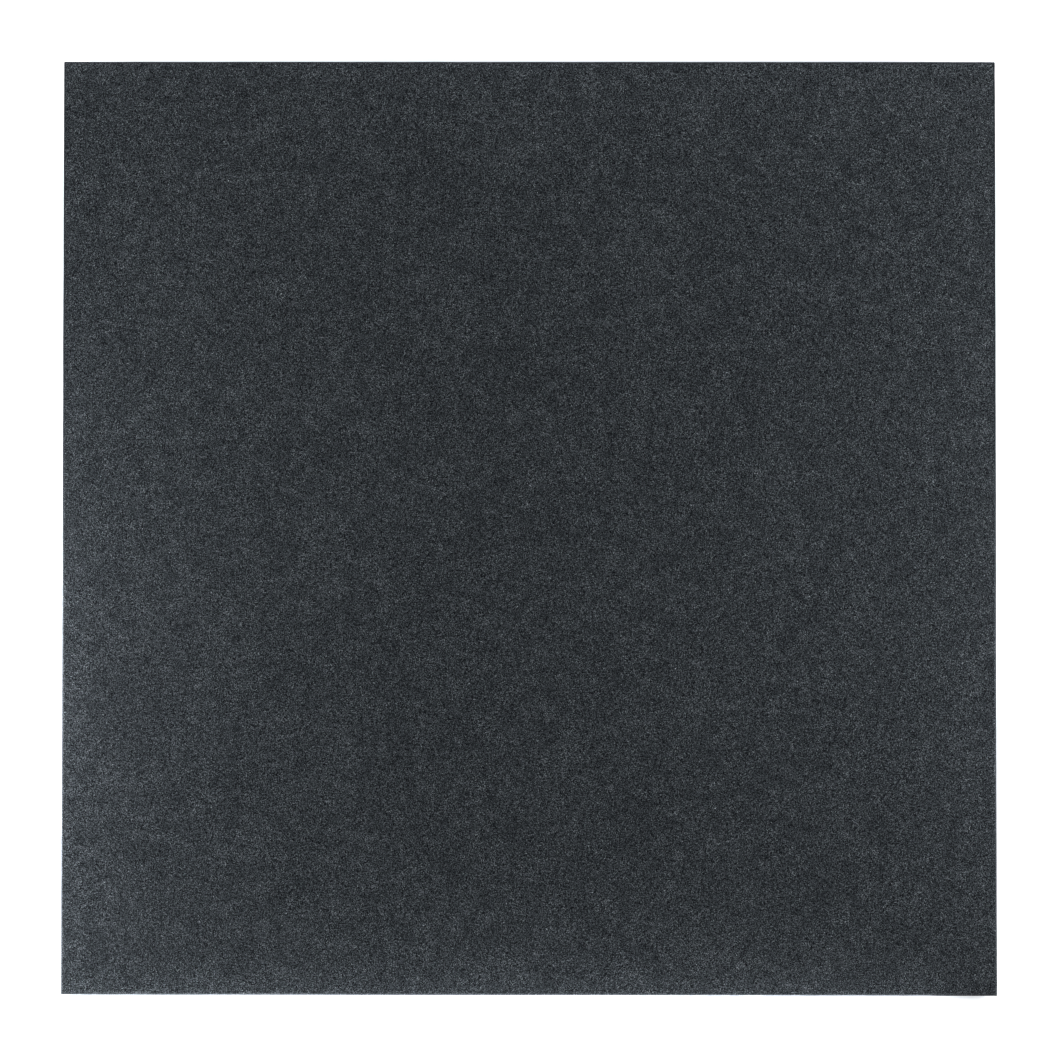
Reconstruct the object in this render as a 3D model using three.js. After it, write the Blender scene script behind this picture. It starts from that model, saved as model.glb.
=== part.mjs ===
// Rubber gym floor tile: a square mat of fine rubber crumb, bonded and pressed in a mould as one piece.
// Units are millimetres and +Z is up. The origin is at the centre of the underside,
// with the wearing face on top.
import * as THREE from "three";

// Overall size, edge to edge. Neighbouring tiles butt together at this pitch.
const TILE_LENGTH = 1000; // along X
const TILE_WIDTH = 1000; // along Y
const TILE_THICKNESS = 20; // along Z

// The top and bottom faces meet the sides in a round arris, and the four upright edges are square.
const ARRIS_RADIUS = 3;

// How finely the round of the arris is divided.
const ARRIS_STEPS = 6;

// Colour and finish of the pressed rubber, as seen in even light.
const RUBBER_COLOUR = 0x34383c;
const RUBBER_ROUGHNESS = 0.62;

// A rectangle about the origin, drawn anticlockwise.
function rectangle(length, width) {
  const outline = new THREE.Shape();
  outline.moveTo(-length / 2, -width / 2);
  outline.lineTo(length / 2, -width / 2);
  outline.lineTo(length / 2, width / 2);
  outline.lineTo(-length / 2, width / 2);
  outline.closePath();
  return outline;
}

// The solid grows outwards from the flat faces by the arris, so the sides stand at the full tile size.
function tileGeometry() {
  const flatFace = rectangle(TILE_LENGTH - 2 * ARRIS_RADIUS, TILE_WIDTH - 2 * ARRIS_RADIUS);
  const geometry = new THREE.ExtrudeGeometry(flatFace, {
    depth: TILE_THICKNESS - 2 * ARRIS_RADIUS,
    bevelEnabled: true,
    bevelThickness: ARRIS_RADIUS,
    bevelSize: ARRIS_RADIUS,
    bevelSegments: ARRIS_STEPS,
  });
  // The lower arris starts below the extrusion, so the underside is raised to Z = 0.
  geometry.translate(0, 0, ARRIS_RADIUS);
  return geometry;
}

const rubber = new THREE.MeshStandardMaterial({
  color: RUBBER_COLOUR,
  roughness: RUBBER_ROUGHNESS,
  metalness: 0,
});

const tile = new THREE.Mesh(tileGeometry(), rubber);
tile.name = "rubber_tile";

const part = new THREE.Group();
part.add(tile);

export default part;
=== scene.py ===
import math
import bmesh
import bpy
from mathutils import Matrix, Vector


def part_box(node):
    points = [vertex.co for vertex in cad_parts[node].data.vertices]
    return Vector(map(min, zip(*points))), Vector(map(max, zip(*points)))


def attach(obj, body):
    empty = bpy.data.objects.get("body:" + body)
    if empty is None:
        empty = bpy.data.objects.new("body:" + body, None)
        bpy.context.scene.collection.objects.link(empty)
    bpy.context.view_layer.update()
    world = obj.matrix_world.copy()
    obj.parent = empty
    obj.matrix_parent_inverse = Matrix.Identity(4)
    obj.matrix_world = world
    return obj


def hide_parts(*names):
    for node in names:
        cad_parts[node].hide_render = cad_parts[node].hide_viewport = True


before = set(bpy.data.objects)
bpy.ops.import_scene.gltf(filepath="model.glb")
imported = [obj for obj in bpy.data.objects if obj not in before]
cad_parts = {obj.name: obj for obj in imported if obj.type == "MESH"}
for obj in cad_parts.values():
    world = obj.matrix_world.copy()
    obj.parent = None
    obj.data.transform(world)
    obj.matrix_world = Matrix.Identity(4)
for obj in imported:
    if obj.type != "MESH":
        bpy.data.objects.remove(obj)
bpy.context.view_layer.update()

# The tile is one mat of fine black rubber crumb, bonded and pressed flat in a square mould.
# The press leaves a tight, gritty wearing face, a round arris with a closed skin, and coarser sides.
TILE_LOW, TILE_HIGH = (Vector(corner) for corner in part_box("rubber_tile"))
TILE_SIZE = TILE_HIGH - TILE_LOW
TILE_MIDDLE = (TILE_LOW + TILE_HIGH) / 2
ARRIS = 0.003
UPRIGHT_EDGE = 0.0009
ARRIS_STEPS = 6
FACE_CELL = 0.008
GRAIN_CELL = 0.002

# Two places count as the same within SAME_PLACE, and an edge counts as parallel within PARALLEL.
SAME_PLACE = 1e-6
PARALLEL = 1e-7

SIDE_RELIEF = 0.0003
ARRIS_RELIEF_SHARE = 0.3
SIDE_RELIEF_GRAIN = 0.0028
FACE_RELIEF = 0.0004
FACE_RELIEF_SPAN = 0.07

bpy.ops.object.select_all(action="DESELECT")
bpy.ops.mesh.primitive_cube_add(size=1, location=TILE_MIDDLE, scale=TILE_SIZE)
tile = bpy.context.object
tile.name = "pressed_crumb_tile"
bpy.ops.object.transform_apply(location=True, rotation=True, scale=True)
bpy.ops.object.mode_set(mode="EDIT")
bpy.ops.mesh.select_mode(type="EDGE")


def pick_edges(chosen):
    """Selects the edges of the tile whose two ends pass the test, and no others."""
    bpy.ops.mesh.select_all(action="DESELECT")
    shape = bmesh.from_edit_mesh(tile.data)
    for edge in shape.edges:
        start, end = (corner.co - TILE_MIDDLE for corner in edge.verts)
        edge.select_set(chosen(start, end))
    bmesh.update_edit_mesh(tile.data)


def depth_inside(point, axis):
    """How far a point, measured from the tile's middle, lies inside the two faces across an axis."""
    return TILE_SIZE[axis] / 2 - abs(point[axis])


def runs_along(start, end, axis):
    """True where an edge is parallel to an axis."""
    return (end - start).length - abs(end[axis] - start[axis]) < PARALLEL


def in_a_face(start, end, axis):
    """True where an edge lies in one of the two faces across an axis."""
    return abs(start[axis] - end[axis]) < PARALLEL and depth_inside(start, axis) < SAME_PLACE


def is_level(start, end):
    return abs(start.z - end.z) < PARALLEL


def on_a_level_corner_line(start, end):
    return in_a_face(start, end, 2) and (in_a_face(start, end, 0) or in_a_face(start, end, 1))


def on_an_upright_corner_line(start, end):
    return in_a_face(start, end, 0) and in_a_face(start, end, 1)


# The blank is cut into square cells across, first coarse and then fine. Its eight level edges get
# the arris, and its four upright edges are only eased.
FACE_CELLS = round(TILE_SIZE.x / FACE_CELL)
COARSE_CELLS = 25
pick_edges(is_level)
bpy.ops.mesh.subdivide(number_cuts=COARSE_CELLS - 1)
pick_edges(is_level)
bpy.ops.mesh.subdivide(number_cuts=FACE_CELLS // COARSE_CELLS - 1)
for chosen, radius in ((on_a_level_corner_line, ARRIS), (on_an_upright_corner_line, UPRIGHT_EDGE)):
    pick_edges(chosen)
    bpy.ops.transform.edge_bevelweight(value=radius / ARRIS)
bpy.ops.object.mode_set(mode="OBJECT")
rounding = tile.modifiers.new("rounded_edges", "BEVEL")
rounding.limit_method = "WEIGHT"
rounding.width = ARRIS
rounding.segments = ARRIS_STEPS
rounding.use_clamp_overlap = False
bpy.ops.object.modifier_apply(modifier="rounded_edges")
bpy.ops.object.mode_set(mode="EDIT")


def up_a_side(start, end):
    """The upright edges of the sides, between the two arrises."""
    return runs_along(start, end, 2) and (end - start).length > ARRIS * 2


def across_the_rim(start, end):
    """Edges of the wearing face that run from the arris to the first line of cells."""
    on_top = min(start.z, end.z) > TILE_SIZE.z / 2 - SAME_PLACE
    for axis in (0, 1):
        nearest = min(depth_inside(start, axis), depth_inside(end, axis))
        if on_top and runs_along(start, end, axis) and nearest < ARRIS + SAME_PLACE:
            return True
    return False


def along_the_rim(start, end):
    """Edges that run along the sides, the arrises and the outermost cells of the wearing face."""
    underside = max(start.z, end.z) < SAME_PLACE - TILE_SIZE.z / 2
    reach = ARRIS if underside else FACE_CELL
    for axis, across in ((0, 1), (1, 0)):
        outermost = max(depth_inside(start, across), depth_inside(end, across)) < reach + SAME_PLACE
        if outermost and runs_along(start, end, axis) and (end - start).length > GRAIN_CELL * 2:
            return True
    return False


pick_edges(up_a_side)
bpy.ops.mesh.subdivide(number_cuts=round((TILE_SIZE.z - 2 * ARRIS) / GRAIN_CELL))
pick_edges(across_the_rim)
bpy.ops.mesh.subdivide(number_cuts=round((FACE_CELL - ARRIS) / GRAIN_CELL) - 1)
pick_edges(along_the_rim)
bpy.ops.mesh.subdivide(number_cuts=round(FACE_CELL / GRAIN_CELL) - 1, ngon=False)
bpy.ops.mesh.select_all(action="SELECT")
bpy.ops.mesh.normals_make_consistent(inside=False)
bpy.ops.object.mode_set(mode="OBJECT")
bpy.ops.object.shade_smooth()

# The crumb shows as fine relief on the sides, less on the arrises, and fades out towards the
# wearing face. The underside stays flat, because the tile rests on it.
side_relief = tile.vertex_groups.new(name="side_relief")
face_relief = tile.vertex_groups.new(name="face_relief")
for vertex in tile.data.vertices:
    place = vertex.co - TILE_MIDDLE
    inside = min(depth_inside(place, 0), depth_inside(place, 1))
    from_a_level_face = depth_inside(place, 2)
    fade = 1 - max(inside - ARRIS, 0) / (FACE_CELL - ARRIS)
    roughened = ARRIS_RELIEF_SHARE if from_a_level_face < ARRIS else 1.0
    if place.z < 0:
        roughened *= min(from_a_level_face / ARRIS, 1)
    side_relief.add([vertex.index], min(max(fade, 0), 1) * roughened, "REPLACE")
    face_relief.add([vertex.index], 1.0 if place.z > 0 else 0.0, "REPLACE")


def press_relief(name, group, span, depth):
    """Sinks the surface by up to a depth, in a cloudy pattern of a given span.

    The group is given by name, because applying a modifier makes the tile's groups anew.
    """
    pattern = bpy.data.textures.new(name, type="CLOUDS")
    pattern.noise_scale = span
    relief = tile.modifiers.new(name, "DISPLACE")
    relief.texture = pattern
    relief.texture_coords = "LOCAL"
    relief.vertex_group = group
    relief.mid_level = 1.0
    relief.strength = depth
    bpy.ops.object.modifier_apply(modifier=name)


press_relief("soft_unevenness", "face_relief", FACE_RELIEF_SPAN, FACE_RELIEF)
press_relief("side_crumb", "side_relief", SIDE_RELIEF_GRAIN, SIDE_RELIEF)

# The tile is unfolded into a flat map, for a bake. The wearing face fills most of it with the sides
# folded out around it, and the underside is drawn small in the corner that is left.
FACE_SCALE = 0.85
UNDERSIDE_SCALE = 0.09
UNDERSIDE_ROOM = 1.1
FOLD_LINE = TILE_SIZE.x / 2 - ARRIS
MAP_CENTRE = FACE_SCALE * (FOLD_LINE + TILE_SIZE.z + 2 * ARRIS)
UNDERSIDE_CENTRE = 1 - UNDERSIDE_SCALE * UNDERSIDE_ROOM / 2


def fold_out(place, axis):
    """How far from the map's centre a point of the rim lies along an axis, measured down the side."""
    beyond = abs(place[axis]) - FOLD_LINE
    below = TILE_SIZE.z / 2 - place.z
    down_the_side = below + beyond if place.z > 0 else below + 2 * ARRIS - beyond
    return math.copysign(FOLD_LINE + down_the_side, place[axis])


unfolded = tile.data.uv_layers.new(name="OFBake").data
for face in tile.data.polygons:
    middle = face.center - TILE_MIDDLE
    across = 0 if abs(middle.x) > abs(middle.y) else 1
    on_the_rim = abs(middle[across]) > FOLD_LINE
    for corner in face.loop_indices:
        place = tile.data.vertices[tile.data.loops[corner].vertex_index].co - TILE_MIDDLE
        spot = [place.x, place.y]
        if on_the_rim:
            spot[across] = fold_out(place, across)
        if middle.z < 0 and not on_the_rim:
            unfolded[corner].uv = [UNDERSIDE_CENTRE + UNDERSIDE_SCALE * along for along in spot]
        else:
            unfolded[corner].uv = [MAP_CENTRE + FACE_SCALE * along for along in spot]

# Rubber crumb: tightly packed grains of about a millimetre, dark and light at random. Their shades are
# partly the crumb's own tone and partly painted shade in the gaps and painted light on the grain tops.
# Each grain has its own shade, gloss and tilt. Clumps, patches and clouds of grains vary it further.
GRAIN_COLOUR = (0.0093, 0.0096, 0.0094)
PIT_COLOUR = (0.0, 0.0005, 0.0013)
GRAINS_PER_MM = 1.7
GRAIN_WOBBLE = 0.5
CLUMPS_PER_MM = 0.8
PATCHES_PER_MM = 0.07
CLOUDS_PER_MM = 0.012
MM_IN_A_METRE = 1000

rubber = bpy.data.materials.new("pressed_crumb_rubber")
rubber.use_nodes = True
nodes = rubber.node_tree.nodes
links = rubber.node_tree.links
surface = nodes["Principled BSDF"]


def add_node(kind, label, inputs, **settings):
    """Adds a node and fills its inputs, by name or number, with links or plain values."""
    made = nodes.new(kind)
    made.label = label
    for key, value in settings.items():
        setattr(made, key, value)
    for key, value in inputs.items():
        if isinstance(value, bpy.types.NodeSocket):
            links.new(value, made.inputs[key])
        else:
            made.inputs[key].default_value = value
    return made


def maths(operation, label, *values):
    return add_node("ShaderNodeMath", label, dict(enumerate(values)), operation=operation).outputs[0]


def vector_maths(operation, label, *values):
    made = add_node("ShaderNodeVectorMath", label, dict(enumerate(values)), operation=operation)
    return made.outputs["Value" if operation == "DOT_PRODUCT" else "Vector"]


def noise(label, scale, detail, output="Fac"):
    inputs = {"Vector": in_mm, "Scale": scale, "Detail": detail}
    return add_node("ShaderNodeTexNoise", label, inputs).outputs[output]


def between(label, value, low, high, at_low, at_high):
    """Turns a range of a pattern, from low to high, into another range, and stops at its ends."""
    inputs = {0: value, 1: low, 2: high, 3: at_low, 4: at_high}
    return add_node("ShaderNodeMapRange", label, inputs).outputs["Result"]


on_tile = add_node("ShaderNodeTexCoord", "place on the tile", {}).outputs["Object"]
in_mm = vector_maths("MULTIPLY", "in millimetres", on_tile, (MM_IN_A_METRE,) * 3)
wobble = noise("uneven grain outlines", GRAINS_PER_MM, detail=0, output="Color")
wobbly = vector_maths("MULTIPLY_ADD", "wobbly grains", wobble, (GRAIN_WOBBLE,) * 3, in_mm)
grains = add_node("ShaderNodeTexVoronoi", "grains", {"Vector": wobbly, "Scale": GRAINS_PER_MM})
chance = add_node("ShaderNodeTexWhiteNoise", "chances of a grain", {"Vector": grains.outputs["Color"]})
chances = add_node("ShaderNodeSeparateColor", "three chances", {"Color": chance.outputs["Color"]})

MEAN_OF_THREE_CHANCES = 1.5
PATTERN_MIDDLE = 0.5
GRAIN_CONTRAST = 3.6
CLUMP_CONTRAST = 2.0
PATCH_RANGE = (0.3, 0.7)
SMOOTHEST, ROUGHEST = 0.85, 1.3
PAINTED_GLINT_SHARE, PAINTED_GLINT_SHADE = 0.002, 2.2
CLOUD_CONTRAST = 0.35
LIGHT_TO_DARK = 2.0
# The grain and clump contrast is partly the crumb's own tone and partly painted shade and painted light
# at grain scale.
two_chances = maths("ADD", "two chances", chances.outputs[0], chances.outputs[1])
grain_shade = maths("ADD", "shade of a grain", two_chances, chances.outputs[2])
grain_range = GRAIN_CONTRAST / MEAN_OF_THREE_CHANCES
packing = maths("MULTIPLY_ADD", "grain contrast", grain_shade, grain_range, -GRAIN_CONTRAST)
clump_pattern = noise("clumps", CLUMPS_PER_MM, detail=2)
clumps = maths("SUBTRACT", "light and dark clumps", clump_pattern, PATTERN_MIDDLE)
packing = maths("MULTIPLY_ADD", "clump contrast", clumps, CLUMP_CONTRAST, packing)
patches = noise("smoother patches", PATCHES_PER_MM, detail=2)
evenness = between("smoothness", patches, *PATCH_RANGE, SMOOTHEST, ROUGHEST)

# On the arris the press closes the crumb into a smoother skin. The arris is found by its slope,
# which is 0 on a side and 1 on the face. Along the near half of the tile, given in millimetres from
# its middle, the skin has painted light: its colour is lighter where the low near lights fall on
# the arris. It also gets a shiny coat there.
SKIN_CLOSES = 0.6
PAINTED_SKIN_LIGHT = 1.27
SKIN_SHINE = 0.3
NEAR_SKIN_FULL_TO, NEAR_SKIN_NONE_FROM = -150, 100
SIDE_SLOPES = (0.1, 0.4)
FACE_SLOPES = (0.96, 0.999)
facing = add_node("ShaderNodeNewGeometry", "face direction", {}).outputs["Normal"]
slope = vector_maths("DOT_PRODUCT", "how level the surface is", facing, (0, 0, 1))
off_the_face = between("beyond the wearing face", slope, *FACE_SLOPES, 1, 0)
off_the_side = between("beyond the side", slope, *SIDE_SLOPES, 0, 1)
skin = maths("MULTIPLY", "skin on the arris", off_the_side, off_the_face)
crumb = between("crumb left open", skin, 0, 1, 1, 1 - SKIN_CLOSES)
across_tile = add_node("ShaderNodeSeparateXYZ", "place across the tile", {"Vector": in_mm}).outputs["Y"]
near_half = between("near half", across_tile, NEAR_SKIN_FULL_TO, NEAR_SKIN_NONE_FROM, 1, 0)
nearside_skin = maths("MULTIPLY", "skin on the near side", near_half, skin)
evenness = maths("MULTIPLY", "evenness", evenness, crumb)
packing = maths("MULTIPLY_ADD", "unevenness", packing, evenness, 1)
own_numbers = add_node("ShaderNodeSeparateColor", "own numbers", {"Color": grains.outputs["Color"]})
# Painted highlight: a few grains get a painted glint, their shade raised as if a cut face caught the
# light.
painted_glint = maths("GREATER_THAN", "painted highlight of a grain", own_numbers.outputs[2], 1 - PAINTED_GLINT_SHARE)
packing = maths("MULTIPLY_ADD", "painted_glint", painted_glint, PAINTED_GLINT_SHADE, packing)
pressed_more = noise("clouds where the press closed the face more", CLOUDS_PER_MM, detail=3)
clouds = maths("SUBTRACT", "clouds", pressed_more, PATTERN_MIDDLE)
shade = maths("MULTIPLY_ADD", "cloud contrast", clouds, CLOUD_CONTRAST, packing)
shade = maths("MAXIMUM", "no less than black", shade, 0)
shade = maths("POWER", "shade", shade, LIGHT_TO_DARK)
# Painted light: the skin on the near half is lightened in colour, as the low near lights would light
# it.
painted_arris_light = maths("MULTIPLY_ADD", "painted light on the near arris", nearside_skin, PAINTED_SKIN_LIGHT, 1)
shade = maths("MULTIPLY", "painted light on the arris", shade, painted_arris_light)
# Colour is the pit colour plus the grain colour times the shade. The darkest grains, near the pit
# colour, partly stand in as painted shade in the gaps.
colour = vector_maths("MULTIPLY_ADD", "rubber colour", shade, GRAIN_COLOUR, PIT_COLOUR)
links.new(colour, surface.inputs["Base Color"])

ROUGHNESS_LOW, ROUGHNESS_HIGH = 0.36, 0.8
DULL_RUBBER = 0.05
gloss = between("gloss of a grain", grains.outputs["Color"], 0, 1, ROUGHNESS_HIGH, ROUGHNESS_LOW)
links.new(gloss, surface.inputs["Roughness"])
surface.inputs["Specular IOR Level"].default_value = DULL_RUBBER

# Each grain lies at its own tilt, and the clumps stand up as bumps.
GRAIN_TILT = 0.6
CLUMP_HEIGHT = 0.00012
lean = vector_maths("SUBTRACT", "lean of a grain", grains.outputs["Color"], (PATTERN_MIDDLE,) * 3)
open_lean = maths("MULTIPLY", "tilt left open", crumb, GRAIN_TILT)
tilted = vector_maths("MULTIPLY_ADD", "tilted grain", lean, open_lean, facing)
tilted = vector_maths("NORMALIZE", "tilted grain direction", tilted)
standing_up = {"Strength": crumb, "Distance": CLUMP_HEIGHT, "Height": clumps, "Normal": tilted}
clump_bump = add_node("ShaderNodeBump", "clump bump", standing_up)
links.new(clump_bump.outputs["Normal"], surface.inputs["Normal"])

# The shine of the skin on the near side lies over the crumb as a soft coat.
SKIN_COAT_ROUGHNESS = 0.35
links.new(maths("MULTIPLY", "shine of the skin", nearside_skin, SKIN_SHINE), surface.inputs["Coat Weight"])
surface.inputs["Coat Roughness"].default_value = SKIN_COAT_ROUGHNESS

tile.data.materials.append(rubber)
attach(tile, "root")
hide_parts("rubber_tile")

# A plain white floor, wide enough to run out of sight. It is a little warm, so that it comes out
# white under the cool lights, and is lit from within where their light runs out.
FLOOR_SIZE = 80.0
FLOOR_WHITE = (0.95, 0.92, 0.87, 1)
FLOOR_ROUGHNESS = 0.9
LIGHT_RUNS_OUT = (0.6, 0.8)
FLOOR_GLOW = 0.7
FLOOR_GLOW_COLOUR = (0.97, 0.98, 1.0, 1)
bpy.ops.mesh.primitive_plane_add(size=FLOOR_SIZE, location=(0, 0, TILE_LOW.z))
floor = bpy.context.object
floor.name = "studio_floor"
floor_paint = bpy.data.materials.new("white_floor")
floor_paint.use_nodes = True
paint = floor_paint.node_tree.nodes["Principled BSDF"]
paint.inputs["Base Color"].default_value = FLOOR_WHITE
paint.inputs["Roughness"].default_value = FLOOR_ROUGHNESS
paint.inputs["Emission Color"].default_value = FLOOR_GLOW_COLOUR
floor_nodes = floor_paint.node_tree.nodes
on_floor = floor_nodes.new("ShaderNodeTexCoord")
reach = floor_nodes.new("ShaderNodeVectorMath")
reach.operation = "LENGTH"
glow = floor_nodes.new("ShaderNodeMapRange")
glow.interpolation_type = "SMOOTHSTEP"
for number, value in enumerate((*LIGHT_RUNS_OUT, 0, FLOOR_GLOW), start=1):
    glow.inputs[number].default_value = value
floor_paint.node_tree.links.new(on_floor.outputs["Object"], reach.inputs[0])
floor_paint.node_tree.links.new(reach.outputs["Value"], glow.inputs[0])
floor_paint.node_tree.links.new(glow.outputs["Result"], paint.inputs["Emission Strength"])
floor.data.materials.append(floor_paint)

# Soft boxes stand around the tile, the right one higher, and three long low cards lie near it and
# skim its face. Thin strips close to the near half catch the arris. All are a little cool.
LIGHT_COLOUR = (0.917, 1.0, 1.124)


def soft_box(name, place, length, height, power, aim=TILE_MIDDLE):
    """Hangs a rectangular light that faces a point, the middle of the tile unless told otherwise."""
    bpy.ops.object.light_add(type="AREA", location=place)
    lamp = bpy.context.object
    lamp.name = name
    lamp.data.shape = "RECTANGLE"
    lamp.data.size = length
    lamp.data.size_y = height
    lamp.data.energy = power
    lamp.data.color = LIGHT_COLOUR
    lamp.visible_camera = False
    lamp.rotation_euler = (Vector(place) - Vector(aim)).to_track_quat("Z", "Y").to_euler()


def low_light(name, x, y, rise, length, height, power):
    """Stands a long light low beside the tile, facing straight across it."""
    straight_across = (x, 0, rise) if abs(y) > abs(x) else (0, y, rise)
    soft_box(name, (x, y, rise), length, height, power, aim=straight_across)


soft_box("left_box", (-1.2, 0.1, 0.5), length=0.9, height=0.5, power=15)
soft_box("right_box", (1.2, 0.08, 0.8), length=0.8, height=0.5, power=21.7)
soft_box("box_above", (0.0, 0.0, 3.2), length=1.5, height=1.5, power=6.6)

CARD_REACH, CARD_RISE, CARD_HEIGHT = 0.75, 0.08, 0.1
low_light("near_card", -0.5, -CARD_REACH, CARD_RISE, length=1.5, height=CARD_HEIGHT, power=5.0)
low_light("left_card", -CARD_REACH, -0.27, CARD_RISE, length=0.9, height=CARD_HEIGHT, power=6.9)
low_light("far_card", -0.1, CARD_REACH, CARD_RISE, length=1.4, height=CARD_HEIGHT, power=4.9)

STRIP_REACH, STRIP_RISE, STRIP_HEIGHT = 0.53, 0.028, 0.01
low_light("near_strip", -0.08, -STRIP_REACH, STRIP_RISE, length=1.04, height=STRIP_HEIGHT, power=0.95)
low_light("left_strip", -STRIP_REACH, -0.25, STRIP_RISE, length=0.45, height=STRIP_HEIGHT, power=0.24)
low_light("right_strip", STRIP_REACH, -0.3, STRIP_RISE, length=0.4, height=STRIP_HEIGHT, power=0.06)

# The room is pale at the horizon and darker overhead, with a cool white colour. It fades between
# two heights, given as the rise of a line of sight.
HORIZON, OVERHEAD = 0.95, 0.15
FADE_HEIGHTS = (0.05, 0.6)
ROOM_COLOUR = (0.97, 1.0, 1.03, 1)
room = bpy.data.worlds.new("pale_room")
bpy.context.scene.world = room
room.use_nodes = True
room_nodes = room.node_tree.nodes
sky = room_nodes["Background"]
direction = room_nodes.new("ShaderNodeTexCoord")
split = room_nodes.new("ShaderNodeSeparateXYZ")
fade = room_nodes.new("ShaderNodeMapRange")
fade.interpolation_type = "SMOOTHSTEP"
for number, value in enumerate((*FADE_HEIGHTS, HORIZON, OVERHEAD), start=1):
    fade.inputs[number].default_value = value
room.node_tree.links.new(direction.outputs["Generated"], split.inputs[0])
room.node_tree.links.new(split.outputs["Z"], fade.inputs[0])
room.node_tree.links.new(fade.outputs["Result"], sky.inputs["Strength"])
sky.inputs["Color"].default_value = ROOM_COLOUR

# The camera looks down from over two metres, less than a degree off plumb, as in the photograph.
LENS = 70
SENSOR = 36
CAMERA_PLACE = (0.0039, -0.0315, 2.2172)
CAMERA_TURN = (math.radians(0.785), math.radians(0.115), math.radians(0.041))
bpy.ops.object.camera_add(location=CAMERA_PLACE, rotation=CAMERA_TURN)
camera = bpy.context.object
camera.name = "photo_camera"
camera.data.lens = LENS
camera.data.sensor_width = SENSOR
bpy.context.scene.camera = camera
bpy.context.scene.view_settings.view_transform = "Standard"
